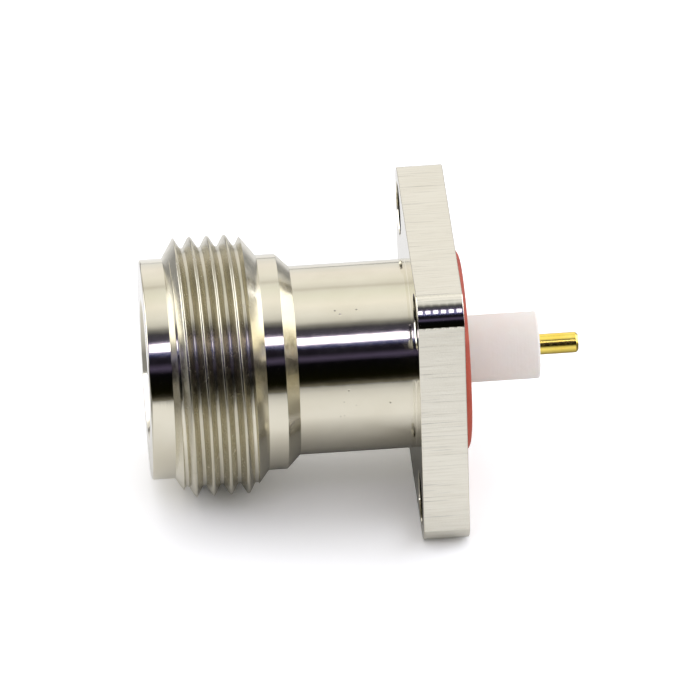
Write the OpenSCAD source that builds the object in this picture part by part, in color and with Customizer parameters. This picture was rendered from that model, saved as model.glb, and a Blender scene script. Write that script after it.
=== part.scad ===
// Panel jack for a threaded coaxial coupling: a turned and plated shell with a
// square four-hole flange, a front-loaded insulator stack and a solder pin.
// The axis runs along X. The origin is on the axis, in the plane of the
// flange's panel face: the mating end points to -X, the solder pin to +X.

/* [Front end] */
// Length from the nose face to the panel face
front_len = 18.9; // [18:0.1:24]
// Diameter of the plain pilot ahead of the thread
pilot_d = 13.4; // [12.8:0.05:14]
// Length of the plain pilot
pilot_len = 1.4; // [0.8:0.05:2.2]
// Chamfer round the nose, outside
nose_chamfer = 0.12; // [0.05:0.01:0.3]

/* [Coupling thread] */
// Diameter over the thread crests
thread_d = 15.8; // [15.4:0.05:16.2]
// Turns of the thread to the inch
threads_per_inch = 24; // [20:1:28]
// Depth of the thread groove
thread_depth = 0.66; // [0.5:0.01:0.7]
// Flat left along each crest
crest_flat = 0.13; // [0.08:0.01:0.2]
// Length of the threaded land, from pilot to collar
thread_len = 5.7; // [4:0.1:6.5]
// Axial length of the steep chamfer that starts the thread
lead_in_len = 0.75; // [0.4:0.05:1]
// Axial length of the cone that ends the thread
run_out_len = 1.05; // [0.8:0.05:1.5]
// Angle of the thread's start round the axis
thread_phase = 195; // [0:5:355]

/* [Neck] */
// Diameter of the collar behind the thread
collar_d = 13.1; // [12.6:0.05:13.6]
// Length of the collar
collar_len = 1.15; // [0.6:0.05:2]
// Diameter of the barrel
barrel_d = 11.5; // [10.5:0.1:12]
// Fillet between the barrel and the flange
barrel_fillet = 0.4; // [0.1:0.05:0.6]

/* [Flange] */
// Side of the square flange
flange_side = 17.5; // [16:0.1:20]
// Thickness of the flange
flange_t = 2.8; // [2.4:0.1:3.6]
// Radius of the flange's corners
flange_corner_r = 2.5; // [1:0.1:3]
// Metal milled off each side of the round-cornered bar
flange_skim = 0.15; // [0:0.05:0.3]
// Distance from each screw hole's centre to the two nearest sides
hole_inset = 2.4; // [2.1:0.05:2.5]
// Diameter of the screw holes
hole_d = 3.3; // [2.6:0.05:3.4]

/* [Mating interior] */
// Diameter of the mouth, and of the bore behind it
mouth_d = 8.1; // [7.9:0.05:8.6]
// Chamfer round the mouth, inside
mouth_chamfer = 0.25; // [0.1:0.05:0.5]
// Depth of the reference plane behind the nose face
reference_depth = 9.1; // [8.5:0.05:9.5]
// Inside diameter of the reference ring
line_d = 7.0; // [6.6:0.05:7.4]
// Length of the reference ring
ring_len = 1.8; // [1:0.1:2.2]

/* [Insulators] */
// Thickness of the front insulator
front_insulator_len = 1.6; // [1:0.1:2]
// Length of the rear insulator's wide head
head_len = 3.0; // [2:0.1:3.2]
// Diameter of the rear insulator's tail
tail_d = 4.1; // [3.8:0.05:4.6]
// Length of the tail beyond the panel face
tail_proud = 5.04; // [3:0.1:9]
// Rounding of the tail's end
tail_edge = 0.15; // [0.05:0.05:0.4]

/* [Contact] */
// Diameter of the socket
socket_d = 3.04; // [2.8:0.02:3.3]
// Bore of the socket
socket_bore_d = 1.66; // [1.5:0.02:1.9]
// Depth of the socket's bore
socket_depth = 5.2; // [4.5:0.1:6]
// Lead of the socket's tip ahead of the reference plane
socket_lead = 5.0; // [4.5:0.05:5.3]
// Chamfer round the socket's bore
socket_chamfer = 0.2; // [0.1:0.05:0.35]
// Width of the socket's slots
slot_w = 0.26; // [0.15:0.01:0.35]
// Length of the socket's slots
slot_len = 4.2; // [3:0.1:5]
// Diameter of the collar that holds the contact
grip_d = 4.4; // [4:0.1:5]
// Length of that collar
grip_len = 0.8; // [0.5:0.1:1.2]
// Diameter of the contact's stem inside the rear insulator's head
stem_d = 2.42; // [2:0.02:2.7]
// Diameter of the solder pin
pin_d = 1.27; // [1:0.01:1.5]
// Length of the solder pin beyond the tail
pin_proud = 2.44; // [1.5:0.1:6]
// Chamfer round the solder pin's end
pin_chamfer = 0.15; // [0.05:0.05:0.3]

/* [Panel gasket] */
// Thickness of the round gasket cord
gasket_cord_d = 1.78; // [1.4:0.02:1.9]
// Metal left between the gasket and the screw holes
gasket_web = 0.92; // [0.7:0.02:1.4]
// How far the gasket stands out of the panel face
gasket_proud = 0.55; // [0.2:0.05:0.7]

/* [Fits] */
// Radial clearance round the insulators and the contact
slip_fit = 0.02; // [0.01:0.01:0.04]
// Side clearance of the gasket in its groove
gasket_fit = 0.02; // [0:0.01:0.1]
// Run of each cut beyond the surface that it opens
over = 0.5; // [0.3:0.1:1]

/* [Hidden] */
round_fn = 96;

// Stations along the axis, from the nose to the pin's end
nose_x = -front_len;
thread_start_x = nose_x + pilot_len;
thread_end_x = thread_start_x + thread_len;
collar_end_x = thread_end_x + collar_len;
neck_step = (collar_d - barrel_d) / 2;
flange_x = -flange_t;
reference_x = nose_x + reference_depth;
ring_end_x = reference_x + ring_len;
head_x = ring_end_x + front_insulator_len;
seat_x = head_x + head_len;
grip_end_x = head_x + grip_len;
socket_x = reference_x - socket_lead;
tail_end_x = tail_proud;
pin_end_x = tail_end_x + pin_proud;

// The thread: a 60 degree groove wound right-handed through the land
thread_pitch = 25.4 / threads_per_inch;
flank_slope = tan(30);
root_r = thread_d / 2 - thread_depth;
cut_over = 0.05;
cut_r = thread_d / 2 + cut_over;
cut_half_w = (thread_pitch - crest_flat) / 2 + cut_over * flank_slope;
root_half_w = (thread_pitch - crest_flat) / 2 - thread_depth * flank_slope;
steps_per_turn = 72;
cut_lead = 1.2 * thread_pitch;
cut_len = thread_len + 2 * cut_lead;
cut_steps = ceil(cut_len / thread_pitch * steps_per_turn);

// The screw holes, and the gasket inside them
hole_reach = flange_side / 2 - hole_inset;
gasket_outer_r = hole_reach * sqrt(2) - hole_d / 2 - gasket_web;
gasket_mid_r = gasket_outer_r - gasket_cord_d / 2;
gasket_depth = gasket_cord_d - gasket_proud;

// A body turned about the X axis, from points given as [x, radius]
module turned(points) {
    rotate([0, 90, 0])
        rotate_extrude($fn = round_fn)
            polygon([for (p = points) [p[1], p[0]]]);
}

// A plain round bar or bore along X
module bar(d, x0, x1) {
    translate([x0, 0, 0])
        rotate([0, 90, 0])
            cylinder(h = x1 - x0, d = d, $fn = round_fn);
}

// The lathe blank: pilot, land of the thread, collar, neck and barrel
module blank() {
    pilot_r = pilot_d / 2;
    thread_r = thread_d / 2;
    collar_r = collar_d / 2;
    barrel_r = barrel_d / 2;
    turned([
        [nose_x, 0],
        [nose_x, pilot_r - nose_chamfer],
        [nose_x + nose_chamfer, pilot_r],
        [thread_start_x, pilot_r],
        [thread_start_x + lead_in_len, thread_r],
        [thread_end_x - run_out_len, thread_r],
        [thread_end_x, collar_r],
        [collar_end_x, collar_r],
        [collar_end_x + neck_step, barrel_r],
        [flange_x + over, barrel_r],
        [flange_x + over, 0]
    ]);
}

// Cross-section of the thread groove at one step of its helix: two corners at
// the root and two just above the crests
function groove_section(step) =
    let (
        angle = thread_phase + 360 * step / steps_per_turn,
        x = thread_start_x - cut_lead + thread_pitch * step / steps_per_turn
    )
    [for (corner = [[-root_half_w, root_r], [root_half_w, root_r], [cut_half_w, cut_r], [-cut_half_w, cut_r]])
        [x + corner[0], -corner[1] * sin(angle), corner[1] * cos(angle)]];

// The helical groove, which runs out in free air at both ends of the land
module thread_groove() {
    points = [for (step = [0:cut_steps]) each groove_section(step)];
    last = 4 * cut_steps;
    sides = [for (step = [0:cut_steps - 1], side = [0:3])
        let (
            a = 4 * step + side,
            b = 4 * step + (side + 1) % 4
        )
        each [[a, b + 4, b], [a, a + 4, b + 4]]];
    ends = [[0, 1, 2, 3], [last + 3, last + 2, last + 1, last]];
    polyhedron(points = points, faces = concat(sides, ends), convexity = 10);
}

// The square flange with round corners
// A slice of round-cornered bar with its four sides milled flat, which leaves
// a faint crease along both edges of each corner
module flange_plate() {
    reach = flange_side / 2 + flange_skim - flange_corner_r;
    translate([flange_x, 0, 0])
        rotate([0, 90, 0])
            linear_extrude(flange_t)
                intersection() {
                    square(flange_side, center = true);
                    union() {
                        square([flange_side, 2 * reach], center = true);
                        square([2 * reach, flange_side], center = true);
                        for (y = [-reach, reach], z = [-reach, reach])
                            translate([z, y])
                                circle(r = flange_corner_r, $fn = round_fn);
                    }
                }
}

// The fillet that leads the barrel into the flange
module barrel_root() {
    barrel_r = barrel_d / 2;
    rotate([0, 90, 0])
        rotate_extrude($fn = round_fn)
            difference() {
                translate([barrel_r - over, flange_x - barrel_fillet])
                    square([barrel_fillet + over, barrel_fillet + over]);
                translate([barrel_r + barrel_fillet, flange_x - barrel_fillet])
                    circle(r = barrel_fillet, $fn = round_fn);
            }
}

// The stepped way through the shell: mouth, main bore and tail bore
module stepped_bore() {
    mouth_r = mouth_d / 2;
    tail_bore_r = tail_d / 2 + slip_fit;
    turned([
        [nose_x - over, 0],
        [nose_x - over, mouth_r + mouth_chamfer + over],
        [nose_x + mouth_chamfer, mouth_r],
        [seat_x, mouth_r],
        [seat_x, tail_bore_r],
        [over, tail_bore_r],
        [over, 0]
    ]);
}

// The ring groove in the panel face that holds the gasket
module gasket_groove() {
    half_w = gasket_cord_d / 2 + gasket_fit;
    rotate([0, 90, 0])
        rotate_extrude($fn = round_fn)
            translate([gasket_mid_r - half_w, -gasket_depth])
                square([2 * half_w, gasket_depth + over]);
}

module screw_holes() {
    for (y = [-hole_reach, hole_reach], z = [-hole_reach, hole_reach])
        translate([0, y, z])
            bar(hole_d, flange_x - over, over);
}

module shell() {
    color("silver")
        difference() {
            union() {
                difference() {
                    blank();
                    thread_groove();
                }
                barrel_root();
                flange_plate();
            }
            stepped_bore();
            gasket_groove();
            screw_holes();
        }
}

// Pressed into the main bore: its front face is the reference plane, and it
// clamps the insulators
module reference_ring() {
    color("silver")
        difference() {
            bar(mouth_d, reference_x, ring_end_x);
            bar(line_d, reference_x - over, ring_end_x + over);
        }
}

// A washer round the socket, in front of the contact's collar
module front_insulator() {
    color("white")
        difference() {
            bar(mouth_d - 2 * slip_fit, ring_end_x, head_x);
            bar(socket_d + 2 * slip_fit, ring_end_x - over, head_x + over);
        }
}

// One turned piece: a wide head in the main bore, counterbored for the
// contact's collar, and a tail that carries the line through the panel
module rear_insulator() {
    head_r = mouth_d / 2 - slip_fit;
    tail_r = tail_d / 2;
    grip_bore_r = grip_d / 2 + slip_fit;
    stem_bore_r = stem_d / 2 + slip_fit;
    pin_bore_r = pin_d / 2 + slip_fit;
    color("white")
        difference() {
            turned([
                [head_x, 0],
                [head_x, head_r],
                [seat_x, head_r],
                [seat_x, tail_r],
                [tail_end_x - tail_edge, tail_r],
                [tail_end_x, tail_r - tail_edge],
                [tail_end_x, 0]
            ]);
            turned([
                [head_x - over, 0],
                [head_x - over, grip_bore_r],
                [grip_end_x, grip_bore_r],
                [grip_end_x, stem_bore_r],
                [seat_x, stem_bore_r],
                [seat_x, pin_bore_r],
                [tail_end_x + over, pin_bore_r],
                [tail_end_x + over, 0]
            ]);
        }
}

// One turned piece: slotted socket, holding collar, stem and solder pin
module centre_contact() {
    socket_r = socket_d / 2;
    bore_r = socket_bore_d / 2;
    pin_r = pin_d / 2;
    color("gold")
        difference() {
            turned([
                [socket_x, 0],
                [socket_x, socket_r],
                [head_x, socket_r],
                [head_x, grip_d / 2],
                [grip_end_x, grip_d / 2],
                [grip_end_x, stem_d / 2],
                [seat_x, stem_d / 2],
                [seat_x, pin_r],
                [pin_end_x - pin_chamfer, pin_r],
                [pin_end_x, pin_r - pin_chamfer],
                [pin_end_x, 0]
            ]);
            turned([
                [socket_x - over, 0],
                [socket_x - over, bore_r + socket_chamfer + over],
                [socket_x + socket_chamfer, bore_r],
                [socket_x + socket_depth, bore_r],
                [socket_x + socket_depth, 0]
            ]);
            for (turn = [45, 135])
                rotate([turn, 0, 0])
                    translate([socket_x - over, -slot_w / 2, -socket_d])
                        cube([slot_len + over, slot_w, 2 * socket_d]);
        }
}

module panel_gasket() {
    color("orangered")
        rotate([0, 90, 0])
            rotate_extrude($fn = round_fn)
                translate([gasket_mid_r, gasket_proud - gasket_cord_d / 2])
                    circle(d = gasket_cord_d, $fn = round_fn);
}

shell();
reference_ring();
front_insulator();
rear_insulator();
centre_contact();
panel_gasket();
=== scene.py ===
# Threaded coaxial panel jack. The frame is in metres: the jack's axis runs along X,
# its panel face is the plane x = 0, the mating end points to -X, and +Z is up.
# Pieces are modelled in millimetres and brought to metres when their mesh is done.
import math

import bpy
from mathutils import Matrix, Vector


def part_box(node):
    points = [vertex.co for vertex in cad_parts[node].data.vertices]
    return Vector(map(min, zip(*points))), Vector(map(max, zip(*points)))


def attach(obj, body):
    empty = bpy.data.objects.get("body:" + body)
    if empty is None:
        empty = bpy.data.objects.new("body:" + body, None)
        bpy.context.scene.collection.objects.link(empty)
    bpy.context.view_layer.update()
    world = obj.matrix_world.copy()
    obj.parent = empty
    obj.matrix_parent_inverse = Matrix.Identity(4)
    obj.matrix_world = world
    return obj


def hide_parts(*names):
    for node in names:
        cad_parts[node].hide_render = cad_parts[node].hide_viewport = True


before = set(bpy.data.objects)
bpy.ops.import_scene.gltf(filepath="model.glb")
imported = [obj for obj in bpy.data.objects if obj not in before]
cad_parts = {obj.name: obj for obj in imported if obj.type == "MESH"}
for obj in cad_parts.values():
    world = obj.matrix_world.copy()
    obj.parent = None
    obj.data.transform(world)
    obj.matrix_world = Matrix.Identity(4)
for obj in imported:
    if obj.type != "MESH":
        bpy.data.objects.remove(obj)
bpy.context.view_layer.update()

# ---------------------------------------------------------------------------
# Shell. One piece of brass turned from square bar: pilot, coupling thread,
# collar, barrel and square flange. It is bored through in steps, drilled for
# four screws, grooved for the gasket, and plated with bright nickel.
# ---------------------------------------------------------------------------
MM = 0.001
shell_low, shell_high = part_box("shell")
nose_x = shell_low.x / MM
flange_side = (shell_high.y - shell_low.y) / MM

pilot_r = 6.7
pilot_len = 1.4
nose_edge = 0.12
thread_r = 7.9
thread_depth = 0.66
thread_pitch = 25.4 / 24
crest_flat = 0.13
crest_ease = 0.035
root_ease = 0.05
thread_len = 5.7
lead_in_len = 0.75
run_out_len = 1.05
thread_phase = math.radians(195)
collar_r = 6.55
collar_len = 1.15
barrel_r = 5.75
barrel_fillet = 0.4
turned_edge = 0.05
flange_t = 2.8
flange_corner_r = 2.5
flange_skim = 0.15
flange_edge = 0.06
hole_r = 1.65
hole_inset = 2.4
hole_edge = 0.07
mouth_r = 4.05
mouth_chamfer = 0.25
ring_x = nose_x + 9.1
ring_end_x = ring_x + 1.8
head_x = ring_end_x + 1.6
seat_x = head_x + 3.0
tail_r = 2.05
slip_fit = 0.02
gasket_cord_r = 0.89
gasket_proud = 0.55
gasket_web = 0.92

thread_start_x = nose_x + pilot_len
thread_end_x = thread_start_x + thread_len
collar_end_x = thread_end_x + collar_len
hole_reach = flange_side / 2 - hole_inset
gasket_mid_r = hole_reach * math.sqrt(2) - hole_r - gasket_web - gasket_cord_r


def choose_only(piece):
    """Leaves edit mode and makes one piece the active and only selected one."""
    if bpy.context.object and bpy.context.object.mode != "OBJECT":
        bpy.ops.object.mode_set(mode="OBJECT")
    bpy.ops.object.select_all(action="DESELECT")
    piece.select_set(True)
    bpy.context.view_layer.objects.active = piece


def eased(corners, segments=4):
    """Turns corners (x, r) or (x, r, rounding) into points, with an arc at each rounded one."""
    points = []
    for i, corner in enumerate(corners):
        here = Vector(corner[:2])
        if len(corner) == 2:
            points.append(here)
            continue
        to_last = (Vector(corners[i - 1][:2]) - here).normalized()
        to_next = (Vector(corners[i + 1][:2]) - here).normalized()
        half = to_last.angle(to_next) / 2
        centre = here + (to_last + to_next).normalized() * corner[2] / math.sin(half)
        start = here + to_last * corner[2] / math.tan(half) - centre
        end = here + to_next * corner[2] / math.tan(half) - centre
        sweep = start.angle(end)
        for step in range(segments + 1):
            share = step / segments
            points.append(centre + (start * math.sin((1 - share) * sweep)
                                    + end * math.sin(share * sweep)) / math.sin(sweep))
    return points


def wire(name, points, closed):
    """Draws a line of edges in the XZ plane, from a vertex extruded from point to point."""
    bpy.ops.object.select_all(action="DESELECT")
    bpy.ops.mesh.primitive_plane_add(size=1)
    piece = bpy.context.object
    piece.name = name
    bpy.ops.object.mode_set(mode="EDIT")
    bpy.ops.mesh.select_mode(type="VERT")
    bpy.ops.mesh.select_all(action="SELECT")
    bpy.ops.mesh.merge(type="CENTER")
    bpy.ops.transform.translate(value=(points[0][0], 0, points[0][1]))
    for last, point in zip(points, points[1:]):
        step = (point[0] - last[0], 0, point[1] - last[1])
        bpy.ops.mesh.extrude_region_move(TRANSFORM_OT_translate={"value": step})
    bpy.ops.mesh.select_all(action="SELECT")
    if closed:
        bpy.ops.mesh.edge_face_add()
        bpy.ops.mesh.select_all(action="SELECT")
        bpy.ops.mesh.delete(type="ONLY_FACE")
        bpy.ops.mesh.select_all(action="SELECT")
    return piece


def turned(name, points, steps=192):
    """Spins a profile of (x, r) points round the X axis, as a lathe does."""
    closed = points[0][1] > 0 and points[-1][1] > 0
    piece = wire(name, points, closed)
    bpy.ops.mesh.spin(steps=steps, angle=2 * math.pi, center=(0, 0, 0), axis=(1, 0, 0))
    bpy.ops.mesh.select_all(action="SELECT")
    bpy.ops.mesh.remove_doubles(threshold=0.0004)
    bpy.ops.mesh.normals_make_consistent(inside=False)
    bpy.ops.object.mode_set(mode="OBJECT")
    return piece


def combine(piece, tool, operation):
    """Cuts a tool from a piece (DIFFERENCE) or joins it on (UNION), and removes the tool."""
    choose_only(piece)
    cut = piece.modifiers.new("cut", "BOOLEAN")
    cut.operation = operation
    cut.solver = "EXACT"
    cut.object = tool
    bpy.ops.object.modifier_apply(modifier=cut.name)
    bpy.data.objects.remove(tool)


def to_metres(piece):
    """Cleans the mesh, smooths its shading, and brings it from millimetres to metres."""
    choose_only(piece)
    bpy.ops.object.mode_set(mode="EDIT")
    bpy.ops.mesh.select_all(action="SELECT")
    bpy.ops.mesh.remove_doubles(threshold=0.0004)
    bpy.ops.object.mode_set(mode="OBJECT")
    bpy.ops.object.shade_smooth_by_angle(angle=math.radians(30))
    weighted = piece.modifiers.new("weighted", "WEIGHTED_NORMAL")
    weighted.keep_sharp = True
    bpy.ops.object.modifier_apply(modifier=weighted.name)
    piece.scale = (MM, MM, MM)
    bpy.ops.object.transform_apply(location=True, rotation=True, scale=True)


shell = turned("plated_shell", eased([
    (nose_x, 0),
    (nose_x, pilot_r, nose_edge),
    (thread_start_x, pilot_r),
    (thread_start_x + lead_in_len, thread_r),
    (thread_end_x - run_out_len, thread_r),
    (thread_end_x, collar_r),
    (collar_end_x, collar_r, turned_edge),
    (collar_end_x + collar_r - barrel_r, barrel_r, turned_edge),
    (-flange_t, barrel_r, barrel_fillet),
    (-flange_t + 1, barrel_r + barrel_fillet),
    (-flange_t + 1, 0),
]))

# The flange: a slice of round-cornered bar, its four sides milled flat, which
# leaves a crease along each side of a corner, and its rim eased
bar_side = flange_side + 2 * flange_skim
bpy.ops.object.select_all(action="DESELECT")
bpy.ops.mesh.primitive_cube_add(size=1, location=(-flange_t / 2, 0, 0))
flange = bpy.context.object
flange.scale = (flange_t, bar_side, bar_side)
bpy.ops.object.transform_apply(location=True, rotation=True, scale=True)


def bevel_edges(piece, wanted, width, segments):
    """Rounds the edges of a piece for which wanted(one end, other end) is true."""
    bpy.ops.object.mode_set(mode="EDIT")
    bpy.ops.mesh.select_mode(type="EDGE")
    bpy.ops.mesh.select_all(action="DESELECT")
    bpy.ops.object.mode_set(mode="OBJECT")
    for edge in piece.data.edges:
        edge.select = wanted(*(piece.data.vertices[i].co for i in edge.vertices))
    bpy.ops.object.mode_set(mode="EDIT")
    bpy.ops.mesh.bevel(offset=width, segments=segments, profile=0.5)
    bpy.ops.object.mode_set(mode="OBJECT")


bevel_edges(flange, lambda a, b: abs(a.x - b.x) > 1, flange_corner_r, 24)
bpy.ops.object.mode_set(mode="EDIT")
for side in ((0, 1, 0), (0, -1, 0), (0, 0, 1), (0, 0, -1)):
    bpy.ops.mesh.select_all(action="SELECT")
    bpy.ops.mesh.bisect(plane_co=Vector(side) * flange_side / 2, plane_no=side,
                        use_fill=True, clear_outer=True)
bpy.ops.object.mode_set(mode="OBJECT")
bevel_edges(flange, lambda a, b: abs(a.x - b.x) < 1, flange_edge, 3)
combine(shell, flange, "UNION")

# The bore, in two steps, with a chamfered mouth
combine(shell, turned("bore", [
    (nose_x - 1, 0),
    (nose_x - 1, mouth_r + mouth_chamfer + 1),
    (nose_x + mouth_chamfer, mouth_r),
    (seat_x, mouth_r),
    (seat_x, tail_r + slip_fit),
    (1, tail_r + slip_fit),
    (1, 0),
]), "DIFFERENCE")

# The ring groove that holds the gasket
combine(shell, turned("gasket_groove", [
    (gasket_proud - 2 * gasket_cord_r, gasket_mid_r - gasket_cord_r - slip_fit),
    (gasket_proud - 2 * gasket_cord_r, gasket_mid_r + gasket_cord_r + slip_fit),
    (1, gasket_mid_r + gasket_cord_r + slip_fit),
    (1, gasket_mid_r - gasket_cord_r - slip_fit),
]), "DIFFERENCE")

# The four screw holes, each with its burrs broken at both ends
for y in (-hole_reach, hole_reach):
    for z in (-hole_reach, hole_reach):
        drill = turned("drill", [
            (-flange_t - 1, 0),
            (-flange_t - 1, hole_r + hole_edge + 1),
            (-flange_t + hole_edge, hole_r),
            (-hole_edge, hole_r),
            (1, hole_r + hole_edge + 1),
            (1, 0),
        ], steps=72)
        drill.location = (0, y, z)
        combine(shell, drill, "DIFFERENCE")

# The thread: a 60 degree groove wound right-handed along the blank
flank = math.tan(math.radians(30))
crest_half = (thread_pitch - crest_flat) / 2
root_half = crest_half - thread_depth * flank
root_r = thread_r - thread_depth
lead = 1.2 * thread_pitch
turns = math.ceil((thread_len + 2 * lead) / thread_pitch)
half_section = [
    (root_half - root_ease, root_r),
    (root_half + 0.4 * root_ease, root_r + 0.5 * root_ease),
    (root_half + 1.6 * root_ease * flank, root_r + 1.6 * root_ease),
    (crest_half - 2 * crest_ease * flank, thread_r - 2 * crest_ease),
    (crest_half - 0.2 * crest_ease, thread_r - 0.9 * crest_ease),
    (crest_half + 0.8 * crest_ease, thread_r - 0.2 * crest_ease),
    (crest_half + 2.4 * crest_ease, thread_r + 0.3 * crest_ease),
]
section = [(-x, r) for x, r in reversed(half_section)] + half_section
groove_x = thread_start_x - lead
groove = wire("thread_groove", [(groove_x + x, r) for x, r in section], closed=True)
bpy.ops.transform.rotate(value=-thread_phase, orient_axis="X", center_override=(0, 0, 0))
bpy.ops.object.mode_set(mode="OBJECT")
screw = groove.modifiers.new("screw", "SCREW")
screw.axis = "X"
screw.angle = 2 * math.pi
screw.screw_offset = thread_pitch
screw.iterations = turns
screw.steps = screw.render_steps = 150
bpy.ops.object.modifier_apply(modifier=screw.name)
bpy.ops.object.mode_set(mode="EDIT")
bpy.ops.mesh.select_all(action="DESELECT")
bpy.ops.mesh.select_mode(type="EDGE")
bpy.ops.mesh.select_non_manifold()
bpy.ops.mesh.fill_holes(sides=0)
bpy.ops.mesh.select_all(action="SELECT")
bpy.ops.mesh.normals_make_consistent(inside=False)
bpy.ops.object.mode_set(mode="OBJECT")
combine(shell, groove, "DIFFERENCE")

# The creases stay sharp
crease = math.sqrt(flange_corner_r ** 2 - (flange_corner_r - flange_skim) ** 2)
crease += flange_side / 2 + flange_skim - flange_corner_r
bpy.ops.object.mode_set(mode="EDIT")
bpy.ops.mesh.select_all(action="DESELECT")
bpy.ops.object.mode_set(mode="OBJECT")
for edge in shell.data.edges:
    a, b = (shell.data.vertices[i].co for i in edge.vertices)
    edge.select = abs(a.x - b.x) > 1 and abs(min(abs(a.y), abs(a.z)) - crease) < 0.1
bpy.ops.object.mode_set(mode="EDIT")
bpy.ops.mesh.mark_sharp()
bpy.ops.object.mode_set(mode="OBJECT")
to_metres(shell)


def start_material(name):
    """Makes a material, and gives it with its shader and a function that adds nodes to it."""
    material = bpy.data.materials.new(name)
    material.use_nodes = True
    return material, material.node_tree.nodes["Principled BSDF"], node_adder(material.node_tree)


def node_adder(tree):
    """A function that adds a node, with values or other nodes' outputs on its sockets."""
    def add(kind, inputs, **settings):
        node = tree.nodes.new("ShaderNode" + kind)
        for setting, value in settings.items():
            setattr(node, setting, value)
        for socket, value in inputs.items():
            if isinstance(value, bpy.types.NodeSocket):
                tree.links.new(value, node.inputs[socket])
            else:
                node.inputs[socket].default_value = value
        return node.outputs
    return add


def connect(material, output, socket):
    """Leads a node's output to a socket of the shader."""
    material.node_tree.links.new(output, socket)


def calculate(add, operation, *values):
    """One Math node."""
    return add("Math", dict(enumerate(values)), operation=operation)[0]


def product(add, first, *others):
    """Multiplies values."""
    for other in others:
        first = calculate(add, "MULTIPLY", first, other)
    return first


def shades(add, value, stops):
    """A colour ramp over a value, from (position, colour or grey level) stops."""
    outputs = add("ValToRGB", {0: value})
    band = outputs[0].node.color_ramp
    for position, colour in stops[2:]:
        band.elements.new(position)
    for element, (position, colour) in zip(band.elements, stops):
        element.position = position
        element.color = (*colour, 1) if isinstance(colour, tuple) else (colour, colour, colour, 1)
    return outputs[0]


def fade_in(add, value, low, high):
    """Rises smoothly from 0 at low to 1 at high."""
    limits = {"Value": value, "From Min": low, "From Max": high}
    return add("MapRange", limits, interpolation_type="SMOOTHSTEP")[0]


def place_in_mm(add, stretch=(1, 1, 1)):
    """The piece's own coordinates in millimetres, each times its stretch."""
    place = add("TexCoord", {})["Object"]
    return add("Mapping", {"Vector": place, "Scale": [s / MM for s in stretch]})[0]


def grain(add, place, scale, detail=2.0, roughness=0.5):
    """A noise value from 0 to 1 at a place in millimetres, with scale waves a millimetre."""
    return add("TexNoise", {"Vector": place, "Scale": scale, "Detail": detail, "Roughness": roughness})[0]


def relief(add, height, depth, normal=None):
    """A bump whose height is given in steps of depth millimetres."""
    inputs = {"Height": height, "Distance": depth * MM, "Strength": 1.0}
    if normal is not None:
        inputs["Normal"] = normal
    return add("Bump", inputs)[0]


# The small dents that handling has left on the barrel, each at its x, with its
# angle above the front of the jack and its size
dents = [
    (-4.39, 3, 0.11), (-7.43, -5.5, 0.09), (-7.2, -5.0, 0.07), (-6.88, 12.5, 0.06), (-7.19, 5.3, 0.06),
    (-6.46, 2.5, 0.06), (-7.4, 62, 0.10), (-7.1, 59.5, 0.10), (-6.1, 62, 0.09),
]


def plated_nickel(name, dark, light, roughness, tool_depth):
    """Nickel plate between a dark and a light colour, with tool marks of a depth in millimetres."""
    material, shader, add = start_material(name)
    shader.inputs["Metallic"].default_value = 1
    place = place_in_mm(add)
    x, y, z = add("SeparateXYZ", {0: place})[:3]
    radius = calculate(add, "SQRT", calculate(add, "ADD", product(add, y, y), product(add, z, z)))
    connect(material, shades(add, grain(add, place, 0.35, detail=4), [(0.3, dark), (0.7, light)]),
            shader.inputs["Base Color"])
    along_tool = calculate(add, "ADD", x, radius)
    marks = add("TexNoise", {"W": along_tool, "Scale": 9.0, "Detail": 2.0}, noise_dimensions="1D")[0]
    surface = relief(add, marks, tool_depth)
    surface = relief(add, grain(add, place, 0.9, detail=1), 0.005, surface)
    surface = relief(add, grain(add, place, 12.0, detail=2), tool_depth / 4, surface)
    for dent_x, angle, size in dents:
        angle = math.radians(angle)
        at = (dent_x, -barrel_r * math.cos(angle), barrel_r * math.sin(angle))
        away = add("VectorMath", {0: place, 1: at}, operation="DISTANCE")[1]
        surface = relief(add, fade_in(add, away, 0.0, size), size / 5, surface)
    connect(material, surface, shader.inputs["Normal"])
    connect(material, shades(add, grain(add, place, 2.5, detail=5), [
        (0.3, roughness), (0.75, roughness * 1.7)]), shader.inputs["Roughness"])
    return material


# A warm mirror on the pilot, collar and barrel, a coarser cut on the cones and
# the flange's root, and a rougher one in the thread, whose darker colour is painted shade of its grooves
nickel = plated_nickel("bright_nickel", (0.72, 0.675, 0.545), (0.77, 0.73, 0.605), 0.065, 0.0012)
cone_nickel = plated_nickel("coned_nickel", (0.70, 0.66, 0.53), (0.75, 0.71, 0.585), 0.16, 0.003)
# The thread's base colour is darker than the barrel's: it is painted shade of the grooves
thread_nickel_painted_shade = plated_nickel("thread_nickel_painted_shade", (0.58, 0.545, 0.43), (0.64, 0.60, 0.48), 0.17, 0.004)

# The flange's four milled sides: matt, with fine streaks and deeper cuts along
# the axis, and shallow scallops that the tool left round each corner
sawn, shader, add = start_material("sawn_nickel")
shader.inputs["Metallic"].default_value = 1
streaks = grain(add, place_in_mm(add, (0.35, 9, 9)), 1.0, detail=5, roughness=0.65)
cuts = shades(add, grain(add, place_in_mm(add, (0.12, 8, 8)), 1.0, detail=6, roughness=0.7), [
    (0.36, 0.66), (0.43, 1.0)])
specks = grain(add, place_in_mm(add), 7.0, detail=3)
tone = shades(add, streaks, [(0.3, (0.755, 0.72, 0.615)), (0.6, (0.83, 0.80, 0.70))])
tone = add("MixRGB", {0: 1.0, 1: tone, 2: cuts}, blend_type="MULTIPLY")[0]
connect(sawn, tone, shader.inputs["Base Color"])
x, y, z = add("SeparateXYZ", {0: place_in_mm(add)})[:3]
inmost = calculate(add, "MINIMUM", calculate(add, "ABSOLUTE", y), calculate(add, "ABSOLUTE", z))
corner = calculate(add, "GREATER_THAN", inmost, crease)
flat = calculate(add, "SUBTRACT", 1.0, corner)
scallop_pitch, scallop_depth, first_scallop_x = 0.47, 0.022, -2.59
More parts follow.
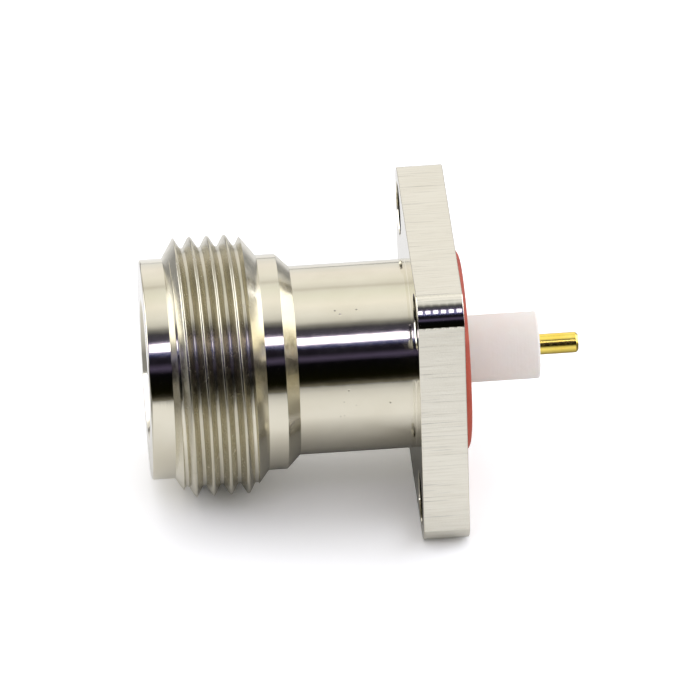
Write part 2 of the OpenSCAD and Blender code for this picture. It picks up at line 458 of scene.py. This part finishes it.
along = calculate(add, "DIVIDE", calculate(add, "SUBTRACT", x, first_scallop_x), scallop_pitch)
from_middle = calculate(add, "SUBTRACT", calculate(add, "FRACT", calculate(add, "ADD", along, 0.5)), 0.5)
scallop = product(add, from_middle, from_middle, -4.0)
surface = relief(add, product(add, scallop, corner), scallop_depth)
surface = relief(add, product(add, streaks, flat), 0.02, surface)
surface = relief(add, product(add, specks, flat), 0.01, surface)
connect(sawn, surface, shader.inputs["Normal"])
connect(sawn, shades(add, corner, [(0.0, 0.3), (1.0, 0.085)]), shader.inputs["Roughness"])

# Each face of the shell gets its finish by its place
finishes = [nickel, sawn, cone_nickel, thread_nickel_painted_shade]
shell.data.materials.clear()
for finish in finishes:
    shell.data.materials.append(finish)
for face in shell.data.polygons:
    centre = face.center / MM
    slant = abs(face.normal.x)
    far, near = max(abs(centre.y), abs(centre.z)), min(abs(centre.y), abs(centre.z))
    from_axis = math.hypot(centre.y, centre.z)
    from_hole = math.hypot(abs(centre.y) - hole_reach, abs(centre.z) - hole_reach)
    on_corner = near > crease - 0.1 and from_hole > hole_r + 0.4
    in_thread = thread_start_x + lead_in_len < centre.x < thread_end_x - run_out_len + 0.1
    before_flange = nose_x + 0.3 < centre.x < -flange_t - 0.01
    if (far > flange_side / 2 - 0.02 or on_corner) and slant < 0.5:
        face.material_index = finishes.index(sawn)
    # Faces in the thread get the nickel whose darker colour is painted groove shade
    elif from_axis > mouth_r + 1 and in_thread:
        face.material_index = finishes.index(thread_nickel_painted_shade)
    elif from_axis > barrel_r and before_flange and 0.3 < slant < 0.95:
        face.material_index = finishes.index(cone_nickel)
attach(shell, "root")
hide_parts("shell")

# ---------------------------------------------------------------------------
# Reference ring. A turned ring, plated as the shell, pressed into its bore: its
# front face is the line's reference plane. The CAD solid has its true shape.
# ---------------------------------------------------------------------------
def refinish(node_name, material):
    """Gives a CAD solid a finished material."""
    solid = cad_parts[node_name]
    solid.data.materials.clear()
    solid.data.materials.append(material)


refinish("reference_ring", nickel)

# ---------------------------------------------------------------------------
# Front insulator. A disc of white fluoropolymer behind the ring, which centres
# the contact. The CAD solid has its true shape.
# ---------------------------------------------------------------------------
dielectric, shader, add = start_material("white_dielectric")
place = place_in_mm(add)
connect(dielectric, shades(add, grain(add, place, 0.5, detail=3), [
    (0.3, (0.96, 0.88, 0.82)), (0.7, (0.98, 0.93, 0.88))]), shader.inputs["Base Color"])
connect(dielectric, shades(add, grain(add, place, 4.0, detail=3), [(0.3, 0.42), (0.7, 0.55)]),
        shader.inputs["Roughness"])
shader.inputs["Subsurface Weight"].default_value = 0.35
shader.inputs["Subsurface Radius"].default_value = (1.0, 0.8, 0.7)
shader.inputs["Subsurface Scale"].default_value = 0.8 * MM
shader.inputs["IOR"].default_value = 1.35
x = add("SeparateXYZ", {0: place})[0]
lathe_marks = add("TexNoise", {"W": x, "Scale": 7.0, "Detail": 3.0}, noise_dimensions="1D")[0]
surface = relief(add, lathe_marks, 0.004)
surface = relief(add, grain(add, place, 3.0, detail=4), 0.012, surface)
connect(dielectric, surface, shader.inputs["Normal"])
refinish("front_insulator", dielectric)

# ---------------------------------------------------------------------------
# Rear insulator. A stepped rod of the same polymer, turned in one piece: its
# head fills the bore and its tail stands out behind the panel face.
# ---------------------------------------------------------------------------
tail_end_x = 5.04
tail_edge = 0.15
grip_r = 2.2
grip_end_x = head_x + 0.8
stem_r = 1.21
pin_r = 0.635

insulator = turned("turned_insulator", eased([
    (head_x, grip_r + slip_fit),
    (head_x, mouth_r - slip_fit, 0.08),
    (seat_x, mouth_r - slip_fit, 0.08),
    (seat_x, tail_r),
    (tail_end_x, tail_r, tail_edge),
    (tail_end_x, pin_r + slip_fit, 0.03),
    (seat_x, pin_r + slip_fit),
    (seat_x, stem_r + slip_fit),
    (grip_end_x, stem_r + slip_fit),
    (grip_end_x, grip_r + slip_fit),
]), steps=128)
insulator.data.materials.append(dielectric)
to_metres(insulator)
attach(insulator, "root")
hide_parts("rear_insulator")

# ---------------------------------------------------------------------------
# Centre contact. One turned and gold-plated pin: a slotted spring socket at the
# mating end, a flange that the insulators trap, and a solder pin behind.
# ---------------------------------------------------------------------------
socket_x = -14.8
socket_r = 1.52
socket_bore_r = 0.83
socket_depth = 5.2
socket_chamfer = 0.2
slot_w = 0.26
slot_len = 4.2
pin_end_x = 7.48
pin_edge = 0.15

contact = turned("gold_contact", eased([
    (socket_x + socket_depth + 0.3, 0),
    (socket_x + socket_depth, socket_bore_r),
    (socket_x + socket_chamfer, socket_bore_r),
    (socket_x, socket_bore_r + socket_chamfer, 0.05),
    (socket_x, socket_r, 0.15),
    (head_x, socket_r),
    (head_x, grip_r, 0.04),
    (grip_end_x, grip_r, 0.04),
    (grip_end_x, stem_r),
    (seat_x, stem_r),
    (seat_x, pin_r),
    (pin_end_x - pin_edge, pin_r, 0.04),
    (pin_end_x, pin_r - pin_edge, 0.04),
    (pin_end_x, 0),
]), steps=96)
for turn in (45, 135):
    bpy.ops.object.select_all(action="DESELECT")
    bpy.ops.mesh.primitive_cube_add(size=1, location=(socket_x + slot_len / 2 - 0.5, 0, 0))
    saw = bpy.context.object
    saw.scale = (slot_len + 1, slot_w, 4 * socket_r)
    saw.rotation_euler.x = math.radians(turn)
    combine(contact, saw, "DIFFERENCE")
gold, shader, add = start_material("gold_plate")
shader.inputs["Metallic"].default_value = 1
place = place_in_mm(add)
connect(gold, shades(add, grain(add, place, 1.2, detail=3), [
    (0.3, (0.97, 0.72, 0.13)), (0.7, (0.99, 0.79, 0.18))]), shader.inputs["Base Color"])
connect(gold, shades(add, grain(add, place, 6.0, detail=4), [(0.3, 0.16), (0.7, 0.26)]),
        shader.inputs["Roughness"])
x = add("SeparateXYZ", {0: place})[0]
marks = add("TexNoise", {"W": x, "Scale": 14.0, "Detail": 2.0}, noise_dimensions="1D")[0]
connect(gold, relief(add, marks, 0.001), shader.inputs["Normal"])
contact.data.materials.append(gold)
to_metres(contact)
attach(contact, "root")
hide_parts("centre_contact")

# ---------------------------------------------------------------------------
# Panel gasket. A moulded ring of red silicone cord, pushed into the groove in
# the panel face and standing a little proud of it.
# ---------------------------------------------------------------------------
bpy.ops.object.select_all(action="DESELECT")
bpy.ops.mesh.primitive_torus_add(major_radius=gasket_mid_r, minor_radius=gasket_cord_r,
                                 major_segments=160, minor_segments=40,
                                 location=(gasket_proud - gasket_cord_r, 0, 0),
                                 rotation=(0, math.pi / 2, 0))
gasket = bpy.context.object
gasket.name = "silicone_gasket"
bpy.ops.object.transform_apply(location=True, rotation=True, scale=True)
silicone, shader, add = start_material("red_silicone")
place = place_in_mm(add)
connect(silicone, shades(add, grain(add, place, 0.8, detail=4), [
    (0.3, (0.42, 0.05, 0.02)), (0.7, (0.51, 0.08, 0.035))]), shader.inputs["Base Color"])
connect(silicone, shades(add, grain(add, place, 5.0, detail=3), [(0.3, 0.45), (0.7, 0.6)]),
        shader.inputs["Roughness"])
shader.inputs["Subsurface Weight"].default_value = 0.15
shader.inputs["Subsurface Radius"].default_value = (1.0, 0.25, 0.1)
shader.inputs["Subsurface Scale"].default_value = 0.4 * MM
connect(silicone, relief(add, grain(add, place, 6.0, detail=4), 0.01), shader.inputs["Normal"])
gasket.data.materials.append(silicone)
to_metres(gasket)
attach(gasket, "root")
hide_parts("panel_gasket")

# ---------------------------------------------------------------------------
# Studio. A white table that tilts with the jack, which lies on the edge of its
# flange and on its thread, in a white light tent with a dark opening in front.
# ---------------------------------------------------------------------------
rest_slope = 0.0612
bpy.ops.object.select_all(action="DESELECT")
bpy.ops.mesh.primitive_plane_add(size=6)
floor = bpy.context.object
floor.name = "table"
floor.rotation_euler.y = math.atan(rest_slope)
floor.location = (-flange_t * MM, 0, shell_low.z)
bpy.ops.object.transform_apply(location=True, rotation=True, scale=True)
paper, shader, add = start_material("white_table")
paper.node_tree.nodes.remove(shader)

# How bright the metal sees the table, by the distance from far behind the jack
# (0) past its axis (0.25) to far in front (1): a painted shadow, dim under the jack, bright past
# the nose, and painted dimming beyond both ends
behind, whole_depth = 100.0, 400.0
nose_shade_x, past_nose_x = -11.0, -17.0
jack_middle_x, near_end, far_end, end_level = -8.0, 14.0, 34.0, 0.3
x, y = add("SeparateXYZ", {0: place_in_mm(add)})[:2]
depth = calculate(add, "DIVIDE", calculate(add, "SUBTRACT", behind, y), whole_depth)
painted_table_shadow = shades(add, depth, [
    (0.0, 0.9), (0.2, 0.8), (0.235, 0.36), (0.25, 0.34), (0.2575, 0.55), (0.265, 0.67), (0.2725, 0.8),
    (0.285, 0.98), (0.307, 0.90), (0.37, 0.76), (0.4975, 0.58), (0.9, 0.4)])
past_nose = add("MapRange", {"Value": x, "From Min": nose_shade_x, "From Max": past_nose_x})[0]
painted_table_shadow = add("MixRGB", {0: past_nose, 1: painted_table_shadow, 2: (0.92, 0.92, 0.92, 1)})[0]
from_jack = calculate(add, "ABSOLUTE", calculate(add, "SUBTRACT", x, jack_middle_x))
reach = add("MapRange", {"Value": from_jack, "From Min": near_end, "From Max": far_end,
                         "To Min": 1.0, "To Max": end_level})[0]
painted_table_shadow = add("MixRGB", {0: 1.0, 1: painted_table_shadow, 2: reach}, blend_type="MULTIPLY")[0]
rays = add("LightPath", {})
seen = add("BsdfDiffuse", {"Color": (1.3, 1.3, 1.31, 1)})[0]
# Glossy rays see the table with this painted shadow, so the metal reflects a painted shadow
mirrored = add("BsdfDiffuse", {"Color": painted_table_shadow})[0]
lit = add("BsdfDiffuse", {"Color": (0.88, 0.88, 0.88, 1)})[0]
mixed = add("MixShader", {0: rays["Is Glossy Ray"], 1: lit, 2: mirrored})[0]
mixed = add("MixShader", {0: rays["Is Camera Ray"], 1: mixed, 2: seen})[0]
connect(paper, mixed, paper.node_tree.nodes["Material Output"].inputs["Surface"])
floor.data.materials.append(paper)

# The tent's light by the angle above the front horizon, 0 in front to 180 behind
tent_light = [
    (0, (0.16, 0.15, 0.12)), (4, (0.02, 0.018, 0.012)), (8, (0.003, 0.003, 0.0)), (28, (0.002, 0.002, 0.003)),
    (33.5, (0.085, 0.07, 0.135)), (39, (0.010, 0.009, 0.015)), (45, (0.012, 0.010, 0.02)),
    (48, (0.07, 0.08, 0.22)), (50.5, (0.30, 0.31, 0.62)), (60, (0.30, 0.27, 0.46)),
    (62, (0.075, 0.07, 0.11)), (69, (0.06, 0.058, 0.075)), (74, (0.27, 0.27, 0.27)),
    (79, (0.78, 0.78, 0.78)), (87, (0.98, 0.98, 0.98)), (101, (1.14, 1.12, 1.10)),
    (116, (1.02, 1.03, 0.98)), (124, (0.93, 0.93, 0.90)), (128, (0.76, 0.74, 0.71)),
    (132, (0.93, 0.92, 0.90)), (141, (1.05, 1.04, 1.02)), (160, (1.08, 1.05, 1.05)),
    (175, (0.95, 0.95, 0.96)), (180, (0.85, 0.86, 0.88)),
]
slit_low, slit_high, slit_half_width, slit_edge = 50.5, 59.2, 0.26, 0.08
slit_colour = (2.6, 2.45, 3.1, 1)
corner_colour = (0.35, 0.34, 0.32, 1)
lamp_colour = (2.9, 2.95, 3.2, 1)
world = bpy.data.worlds.new("light_tent")
bpy.context.scene.world = world
world.use_nodes = True
world.node_tree.nodes.clear()
add = node_adder(world.node_tree)
x, y, z = add("SeparateXYZ", {0: add("TexCoord", {})["Generated"]})[:3]
aside = calculate(add, "ABSOLUTE", x)
turn = calculate(add, "DIVIDE", calculate(add, "ARCTAN2", z, calculate(add, "MULTIPLY", y, -1.0)), math.pi)
walls = shades(add, turn, [(degrees / 180, colour) for degrees, colour in tent_light])

# The tent's upper corners behind are in shade, a lamp stands at each side behind,
# and a slit lets light in above the dark opening in front
corners = product(add, fade_in(add, aside, 0.25, 0.45), fade_in(add, z, 0.22, 0.36),
                  fade_in(add, y, 0.1, 0.4))
lamps = product(add, fade_in(add, aside, 0.62, 0.78), fade_in(add, z, 0.75, 0.5),
                fade_in(add, y, -0.2, 0.05))
slit = product(add, calculate(add, "GREATER_THAN", turn, slit_low / 180),
               calculate(add, "LESS_THAN", turn, slit_high / 180),
               fade_in(add, aside, slit_half_width, slit_half_width - slit_edge))
for share, colour in ((corners, corner_colour), (lamps, lamp_colour), (slit, slit_colour)):
    walls = add("MixRGB", {0: share, 1: walls, 2: colour})[0]

# Matt surfaces get most of their light from the tent's roof
roof = shades(add, z, [(0.0, 0.5), (0.35, 0.8), (0.75, 1.12)])
roof_share = 0.85
rays = add("LightPath", {})
from_walls, from_roof, backdrop = (add("Background", {"Color": colour, "Strength": 1.0})[0]
                                   for colour in (walls, roof, (1, 1, 1, 1)))
on_matt = calculate(add, "MULTIPLY", rays["Is Diffuse Ray"], roof_share)
light = add("MixShader", {0: on_matt, 1: from_walls, 2: from_roof})[0]
light = add("MixShader", {0: rays["Is Camera Ray"], 1: light, 2: backdrop})[0]
output = world.node_tree.nodes.new("ShaderNodeOutputWorld")
world.node_tree.links.new(light, output.inputs["Surface"])

# The camera: a long lens, above and in front
camera = bpy.data.objects.new("camera", bpy.data.cameras.new("camera"))
bpy.context.scene.collection.objects.link(camera)
bpy.context.scene.camera = camera
aim = Vector((-6.397, 0.173, 0.365)) * MM
azimuth, elevation, roll = math.radians(-3.389), math.radians(33.067), math.radians(-1.865)
back = Vector((math.sin(azimuth) * math.cos(elevation), -math.cos(azimuth) * math.cos(elevation),
               math.sin(elevation)))
camera.location = aim + back * 700.57 * MM
camera.rotation_mode = "QUATERNION"
camera.rotation_quaternion = back.to_track_quat("Z", "Y") @ Matrix.Rotation(roll, 3, "Z").to_quaternion()
camera.data.sensor_width = 36
camera.data.lens = 593.24
bpy.context.scene.view_settings.view_transform = "Standard"
